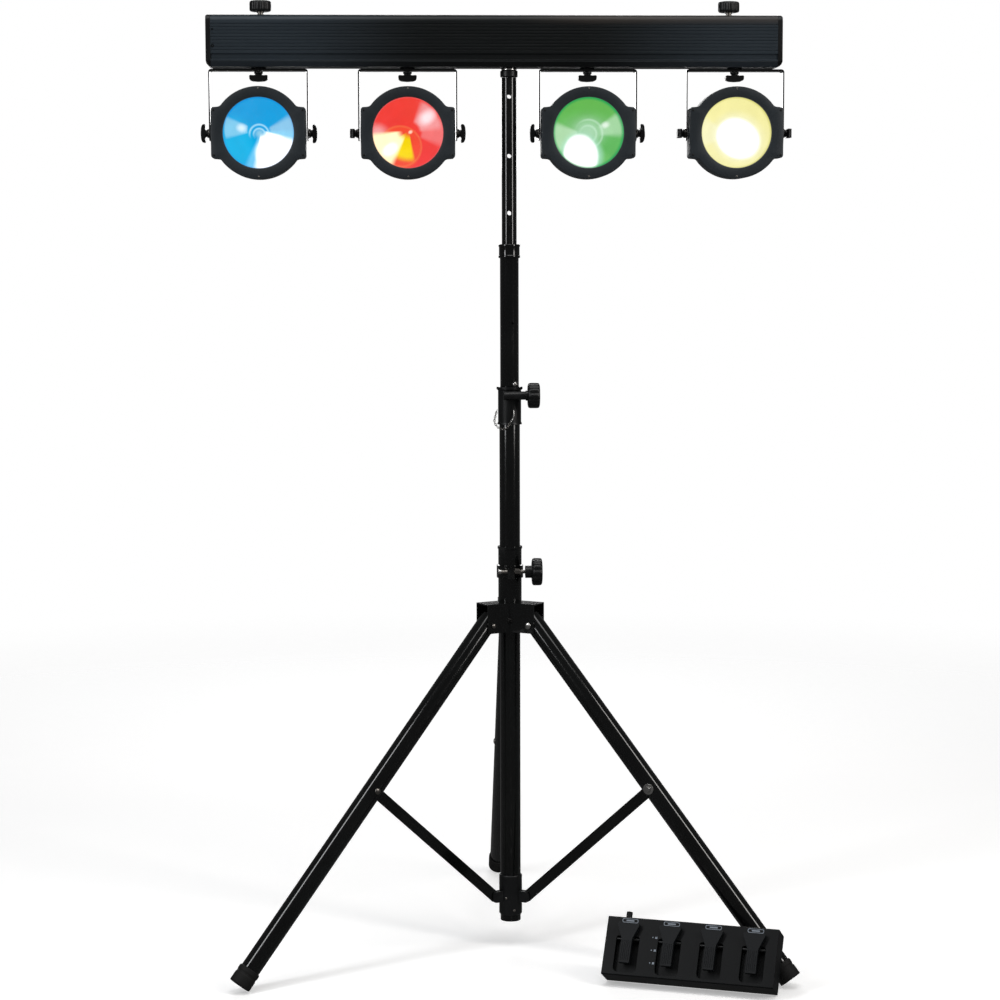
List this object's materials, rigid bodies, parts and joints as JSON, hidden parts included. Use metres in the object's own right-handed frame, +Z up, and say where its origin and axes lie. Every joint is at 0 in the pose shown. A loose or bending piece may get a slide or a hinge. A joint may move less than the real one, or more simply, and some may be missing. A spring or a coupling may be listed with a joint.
{
  "type": "par light bar on tripod stand",
  "caption": "Light bar with tilting round par lamp heads in yokes on a telescopic folding tripod stand, with a foot pedal controller leaning on one leg.",
  "frame": {"origin": "middle of the whole object's footprint box, on the floor", "axes": "+Z up the column; -Y is the way the lamps face; +X to the viewer's right along the bar"},
  "size_m": [1.0308, 0.9274, 1.6754],
  "materials": {
    "bar_black": "satin black anodised aluminium extrusion",
    "plastic_black": "moulded black plastic",
    "housing_black": "satin blue-black powder coat on die-cast housing",
    "steel_black": "gloss black enamel on steel",
    "rubber_black": "matt black rubber",
    "lens_blue": "clear cover over a lit blue lamp",
    "lens_red": "clear cover over a lit red lamp",
    "lens_green": "clear cover over a lit green lamp",
    "lens_yellow": "clear cover over a lit yellow lamp",
    "reflector_metal": "bright metallised reflector",
    "case_black": null
  },
  "bodies": {
    "column": {"tube_lower": "steel_black", "collar_mid": "plastic_black", "collar_bottom": "plastic_black"},
    "hub_carriage": {"hub": "steel_black"},
    "hub_clamp_knob": {"knob_hub": "plastic_black"},
    "collar_clamp_knob": {"knob_mid": "plastic_black"},
    "middle_mast": {"tube_middle": "steel_black"},
    "top_mast": {"tube_top": "steel_black", "mast_plug": "plastic_black"},
    "bar": {"bar_extrusion": "bar_black", "bar_end_left": "plastic_black", "bar_end_right": "plastic_black"},
    "left_bar_knob": {"top_knob_left": "plastic_black"},
    "right_bar_knob": {"top_knob_right": "plastic_black"},
    "controller": {"controller_case": "case_black"},
    "right_leg": {"leg_right": "steel_black", "foot_right": "rubber_black"},
    "right_brace": {"brace_right": "steel_black"},
    "left_leg": {"leg_left": "steel_black", "foot_left": "rubber_black"},
    "left_brace": {"brace_left": "steel_black"},
    "rear_leg": {"leg_rear": "steel_black", "foot_rear": "rubber_black"},
    "rear_brace": {"brace_rear": "steel_black"},
    "yoke_1": {"lamp1_yoke": "steel_black"},
    "head_1": {"lamp1_housing": "housing_black", "lamp1_lens": "lens_blue", "lamp1_reflector": "reflector_metal", "lamp1_heat_sink": "housing_black"},
    "pan_wing_1": {"lamp1_pan_knob": "plastic_black"},
    "left_tilt_wing_1": {"lamp1_tilt_knob_left": "plastic_black"},
    "right_tilt_wing_1": {"lamp1_tilt_knob_right": "plastic_black"},
    "pedal_plate_1": {"pedal_1": "plastic_black"},
    "yoke_2": {"lamp2_yoke": "steel_black"},
    "head_2": {"lamp2_housing": "housing_black", "lamp2_lens": "lens_red", "lamp2_reflector": "reflector_metal", "lamp2_heat_sink": "housing_black"},
    "pan_wing_2": {"lamp2_pan_knob": "plastic_black"},
    "left_tilt_wing_2": {"lamp2_tilt_knob_left": "plastic_black"},
    "right_tilt_wing_2": {"lamp2_tilt_knob_right": "plastic_black"},
    "pedal_plate_2": {"pedal_2": "plastic_black"},
    "yoke_3": {"lamp3_yoke": "steel_black"},
    "head_3": {"lamp3_housing": "housing_black", "lamp3_lens": "lens_green", "lamp3_reflector": "reflector_metal", "lamp3_heat_sink": "housing_black"},
    "pan_wing_3": {"lamp3_pan_knob": "plastic_black"},
    "left_tilt_wing_3": {"lamp3_tilt_knob_left": "plastic_black"},
    "right_tilt_wing_3": {"lamp3_tilt_knob_right": "plastic_black"},
    "pedal_plate_3": {"pedal_3": "plastic_black"},
    "yoke_4": {"lamp4_yoke": "steel_black"},
    "head_4": {"lamp4_housing": "housing_black", "lamp4_lens": "lens_yellow", "lamp4_reflector": "reflector_metal", "lamp4_heat_sink": "housing_black"},
    "pan_wing_4": {"lamp4_pan_knob": "plastic_black"},
    "left_tilt_wing_4": {"lamp4_tilt_knob_left": "plastic_black"},
    "right_tilt_wing_4": {"lamp4_tilt_knob_right": "plastic_black"},
    "pedal_plate_4": {"pedal_4": "plastic_black"}
  },
  "joints": [
    {"name": "hub_slide", "type": "slide", "parent": "column", "child": "hub_carriage", "axis": [0, 0, 1], "range_m": [0, 0.18]},
    {"name": "right_leg_fold", "type": "hinge", "parent": "hub_carriage", "child": "right_leg", "pos_m": [0.05932, -0.11793, 0.586], "axis": [0.527, 0.8499, 0], "range_deg": [0, 29.41]},
    {"name": "right_brace_fold", "type": "hinge", "parent": "right_leg", "child": "right_brace", "pos_m": [0.25916, -0.24183, 0.31734], "axis": [0.527, 0.8499, 0], "range_deg": [-62.38, 0]},
    {"name": "left_leg_fold", "type": "hinge", "parent": "hub_carriage", "child": "left_leg", "pos_m": [-0.02067, -0.11632, 0.586], "axis": [0.4924, -0.8704, 0], "range_deg": [0, 29.41]},
    {"name": "left_brace_fold", "type": "hinge", "parent": "left_leg", "child": "left_brace", "pos_m": [-0.22532, -0.2321, 0.31734], "axis": [0.4924, -0.8704, 0], "range_deg": [-62.38, 0]},
    {"name": "rear_leg_fold", "type": "hinge", "parent": "hub_carriage", "child": "rear_leg", "pos_m": [0.02008, -0.04693, 0.586], "axis": [-1, 0.0061, 0], "range_deg": [0, 29.41]},
    {"name": "rear_brace_fold", "type": "hinge", "parent": "rear_leg", "child": "rear_brace", "pos_m": [0.02152, 0.1882, 0.31734], "axis": [-1, 0.0061, 0], "range_deg": [-62.38, 0]},
    {"name": "hub_knob_turn", "type": "hinge", "parent": "hub_carriage", "child": "hub_clamp_knob", "pos_m": [0.0451, -0.12292, 0.681], "axis": [1, 0, 0], "range_deg": [-180, 180]},
    {"name": "collar_knob_turn", "type": "hinge", "parent": "column", "child": "collar_clamp_knob", "pos_m": [0.0462, -0.11852, 0.9917], "axis": [1, 0, 0], "range_deg": [-180, 180]},
    {"name": "middle_mast_slide", "type": "slide", "parent": "column", "child": "middle_mast", "axis": [0, 0, 1], "range_m": [-0.06, 0.33]},
    {"name": "top_mast_slide", "type": "slide", "parent": "middle_mast", "child": "top_mast", "axis": [0, 0, 1], "range_m": [-0.28, 0.1]},
    {"name": "bar_swivel", "type": "hinge", "parent": "top_mast", "child": "bar", "pos_m": [0.0198, -0.09342, 1.5611], "axis": [0, 0, 1], "range_deg": [-180, 180]},
    {"name": "left_bar_knob_turn", "type": "hinge", "parent": "bar", "child": "left_bar_knob", "pos_m": [-0.4102, -0.09342, 1.6496], "axis": [0, 0, 1], "range_deg": [-180, 180]},
    {"name": "right_bar_knob_turn", "type": "hinge", "parent": "bar", "child": "right_bar_knob", "pos_m": [0.4038, -0.09342, 1.6496], "axis": [0, 0, 1], "range_deg": [-180, 180]},
    {"name": "lamp_1_pan", "type": "hinge", "parent": "bar", "child": "yoke_1", "pos_m": [-0.4146, -0.09342, 1.5548], "axis": [0, 0, 1], "range_deg": [-170, 170]},
    {"name": "lamp_1_tilt", "type": "hinge", "parent": "yoke_1", "child": "head_1", "pos_m": [-0.4146, -0.09342, 1.448], "axis": [1, 0, 0], "range_deg": [-90, 90]},
    {"name": "pan_wing_1_turn", "type": "hinge", "parent": "yoke_1", "child": "pan_wing_1", "pos_m": [-0.4146, -0.09342, 1.5548], "axis": [0, 0, 1], "range_deg": [-180, 180]},
    {"name": "left_tilt_wing_1_turn", "type": "hinge", "parent": "yoke_1", "child": "left_tilt_wing_1", "pos_m": [-0.5006, -0.09342, 1.448], "axis": [1, 0, 0], "range_deg": [-180, 180]},
    {"name": "right_tilt_wing_1_turn", "type": "hinge", "parent": "yoke_1", "child": "right_tilt_wing_1", "pos_m": [-0.3286, -0.09342, 1.448], "axis": [1, 0, 0], "range_deg": [-180, 180]},
    {"name": "lamp_2_pan", "type": "hinge", "parent": "bar", "child": "yoke_2", "pos_m": [-0.1567, -0.09342, 1.5548], "axis": [0, 0, 1], "range_deg": [-170, 170]},
    {"name": "lamp_2_tilt", "type": "hinge", "parent": "yoke_2", "child": "head_2", "pos_m": [-0.1567, -0.09342, 1.448], "axis": [1, 0, 0], "range_deg": [-90, 90]},
    {"name": "pan_wing_2_turn", "type": "hinge", "parent": "yoke_2", "child": "pan_wing_2", "pos_m": [-0.1567, -0.09342, 1.5548], "axis": [0, 0, 1], "range_deg": [-180, 180]},
    {"name": "left_tilt_wing_2_turn", "type": "hinge", "parent": "yoke_2", "child": "left_tilt_wing_2", "pos_m": [-0.2427, -0.09342, 1.448], "axis": [1, 0, 0], "range_deg": [-180, 180]},
    {"name": "right_tilt_wing_2_turn", "type": "hinge", "parent": "yoke_2", "child": "right_tilt_wing_2", "pos_m": [-0.0707, -0.09342, 1.448], "axis": [1, 0, 0], "range_deg": [-180, 180]},
    {"name": "lamp_3_pan", "type": "hinge", "parent": "bar", "child": "yoke_3", "pos_m": [0.1567, -0.09342, 1.5548], "axis": [0, 0, 1], "range_deg": [-170, 170]},
    {"name": "lamp_3_tilt", "type": "hinge", "parent": "yoke_3", "child": "head_3", "pos_m": [0.1567, -0.09342, 1.448], "axis": [1, 0, 0], "range_deg": [-90, 90]},
    {"name": "pan_wing_3_turn", "type": "hinge", "parent": "yoke_3", "child": "pan_wing_3", "pos_m": [0.1567, -0.09342, 1.5548], "axis": [0, 0, 1], "range_deg": [-180, 180]},
    {"name": "left_tilt_wing_3_turn", "type": "hinge", "parent": "yoke_3", "child": "left_tilt_wing_3", "pos_m": [0.0707, -0.09342, 1.448], "axis": [1, 0, 0], "range_deg": [-180, 180]},
    {"name": "right_tilt_wing_3_turn", "type": "hinge", "parent": "yoke_3", "child": "right_tilt_wing_3", "pos_m": [0.2427, -0.09342, 1.448], "axis": [1, 0, 0], "range_deg": [-180, 180]},
    {"name": "lamp_4_pan", "type": "hinge", "parent": "bar", "child": "yoke_4", "pos_m": [0.4146, -0.09342, 1.5548], "axis": [0, 0, 1], "range_deg": [-170, 170]},
    {"name": "lamp_4_tilt", "type": "hinge", "parent": "yoke_4", "child": "head_4", "pos_m": [0.4146, -0.09342, 1.448], "axis": [1, 0, 0], "range_deg": [-90, 90]},
    {"name": "pan_wing_4_turn", "type": "hinge", "parent": "yoke_4", "child": "pan_wing_4", "pos_m": [0.4146, -0.09342, 1.5548], "axis": [0, 0, 1], "range_deg": [-180, 180]},
    {"name": "left_tilt_wing_4_turn", "type": "hinge", "parent": "yoke_4", "child": "left_tilt_wing_4", "pos_m": [0.3286, -0.09342, 1.448], "axis": [1, 0, 0], "range_deg": [-180, 180]},
    {"name": "right_tilt_wing_4_turn", "type": "hinge", "parent": "yoke_4", "child": "right_tilt_wing_4", "pos_m": [0.5006, -0.09342, 1.448], "axis": [1, 0, 0], "range_deg": [-180, 180]},
    {"name": "controller_pull_away", "type": "slide", "parent": "column", "child": "controller", "axis": [-0.3518, -0.9361, 0], "range_m": [0, 0.25]},
    {"name": "pedal_1_press", "type": "hinge", "parent": "controller", "child": "pedal_plate_1", "pos_m": [0.20777, -0.34202, 0.0763], "axis": [0.9361, -0.3518, 0], "range_deg": [0, 5], "stiffness_Nm_per_rad": 3, "springref_deg": -1.72},
    {"name": "pedal_2_press", "type": "hinge", "parent": "controller", "child": "pedal_plate_2", "pos_m": [0.27572, -0.36756, 0.0763], "axis": [0.9361, -0.3518, 0], "range_deg": [0, 5], "stiffness_Nm_per_rad": 3, "springref_deg": -1.72},
    {"name": "pedal_3_press", "type": "hinge", "parent": "controller", "child": "pedal_plate_3", "pos_m": [0.34368, -0.39311, 0.0763], "axis": [0.9361, -0.3518, 0], "range_deg": [0, 5], "stiffness_Nm_per_rad": 3, "springref_deg": -1.72},
    {"name": "pedal_4_press", "type": "hinge", "parent": "controller", "child": "pedal_plate_4", "pos_m": [0.41164, -0.41865, 0.0763], "axis": [0.9361, -0.3518, 0], "range_deg": [0, 5], "stiffness_Nm_per_rad": 3, "springref_deg": -1.72}
  ],
  "couplings": [
    {"joint": "right_leg_fold", "follows": "hub_slide", "rad_per_m": 2.8503},
    {"joint": "right_brace_fold", "follows": "hub_slide", "rad_per_m": -6.0474},
    {"joint": "left_leg_fold", "follows": "hub_slide", "rad_per_m": 2.8503},
    {"joint": "left_brace_fold", "follows": "hub_slide", "rad_per_m": -6.0474},
    {"joint": "rear_leg_fold", "follows": "hub_slide", "rad_per_m": 2.8503},
    {"joint": "rear_brace_fold", "follows": "hub_slide", "rad_per_m": -6.0474}
  ]
}
